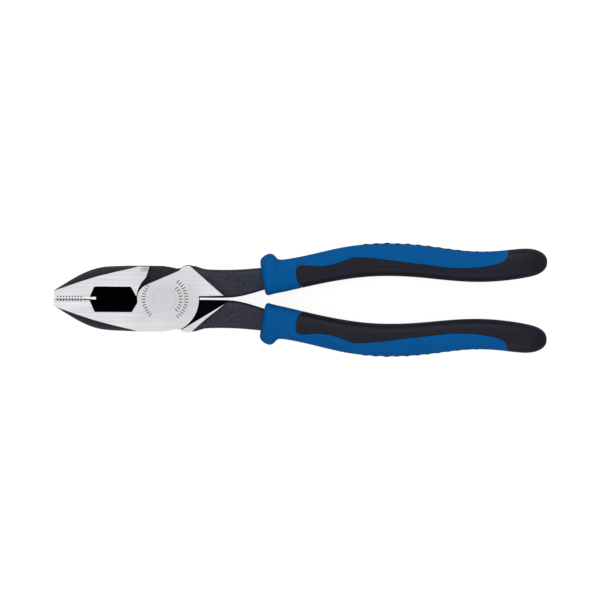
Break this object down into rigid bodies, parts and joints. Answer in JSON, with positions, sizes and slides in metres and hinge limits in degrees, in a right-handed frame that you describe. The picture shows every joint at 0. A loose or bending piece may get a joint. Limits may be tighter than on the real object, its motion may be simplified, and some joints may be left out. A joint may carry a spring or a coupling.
{
  "type": "lineman pliers",
  "caption": "High-leverage side-cutting pliers: toothed flat nose, side knives in a recess, riveted lap joint, curved handles with moulded two-colour grips.",
  "frame": {"origin": "on the pivot axis, in the plane of the rear ground face of the head", "axes": "+X from the pivot to the handle ends, +Y towards the front half's handle, +Z along the pivot axis out of the front ground face"},
  "size_m": [0.2406, 0.0562, 0.0205],
  "materials": {
    "forged_steel": "ground and brushed along the tool on the flat faces of the head, black oxide elsewhere",
    "rivet_steel": "ground flush with the head and brushed with it",
    "grip_black": "fine satin moulded thermoplastic rubber",
    "grip_blue": "satin moulded plastic"
  },
  "bodies": {
    "rear_lever": {"rear_half": "forged_steel", "pivot_rivet": "rivet_steel", "lower_grip_core": "grip_black", "lower_grip_sleeve": "grip_blue"},
    "front_lever": {"front_half": "forged_steel", "upper_grip_core": "grip_black", "upper_grip_sleeve": "grip_blue"}
  },
  "joints": [
    {"name": "jaw_pivot", "type": "hinge", "parent": "rear_lever", "child": "front_lever", "pos_m": [0, 0, 0.00795], "axis": [0, 0, 1], "range_deg": [0, 46]}
  ]
}
